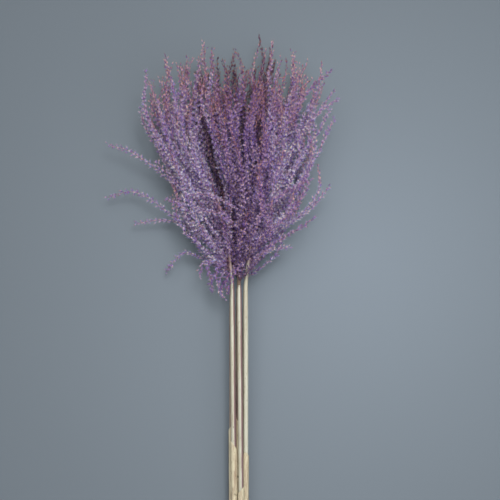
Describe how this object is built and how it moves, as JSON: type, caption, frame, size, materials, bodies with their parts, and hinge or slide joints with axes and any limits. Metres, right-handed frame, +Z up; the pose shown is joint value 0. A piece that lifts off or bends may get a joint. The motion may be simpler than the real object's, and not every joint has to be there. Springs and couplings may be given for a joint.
{
  "type": "bundle of miscanthus",
  "caption": "Lying bundle of dried, lilac-dyed miscanthus: straight pale stems held by an elastic band, with feathery plumes that fan out at one end.",
  "frame": {"origin": "bottom centre of the bundle's box, on the surface that the bundle lies on", "axes": "+Y along the stems towards the plume tips, +Z up from the surface, and +X to the right when the bundle is seen from above with its plumes at the top"},
  "size_m": [0.2768, 0.753, 0.1181],
  "materials": {
    "culm": "satin",
    "leaf_sheath": "matte",
    "plume": "matte",
    "elastic_band": "matte"
  },
  "bodies": {
    "root": {"culm_1": "culm", "leaf_sheath_1": "leaf_sheath", "plume_1": "plume", "culm_2": "culm", "leaf_sheath_2": "leaf_sheath", "plume_2": "plume", "culm_3": "culm", "leaf_sheath_3": "leaf_sheath", "plume_3": "plume", "culm_4": "culm", "leaf_sheath_4": "leaf_sheath", "plume_4": "plume", "culm_5": "culm", "leaf_sheath_5": "leaf_sheath", "plume_5": "plume", "culm_6": "culm", "leaf_sheath_6": "leaf_sheath", "plume_6": "plume", "culm_7": "culm", "leaf_sheath_7": "leaf_sheath", "plume_7": "plume", "elastic_band": "elastic_band"}
  },
  "joints": []
}
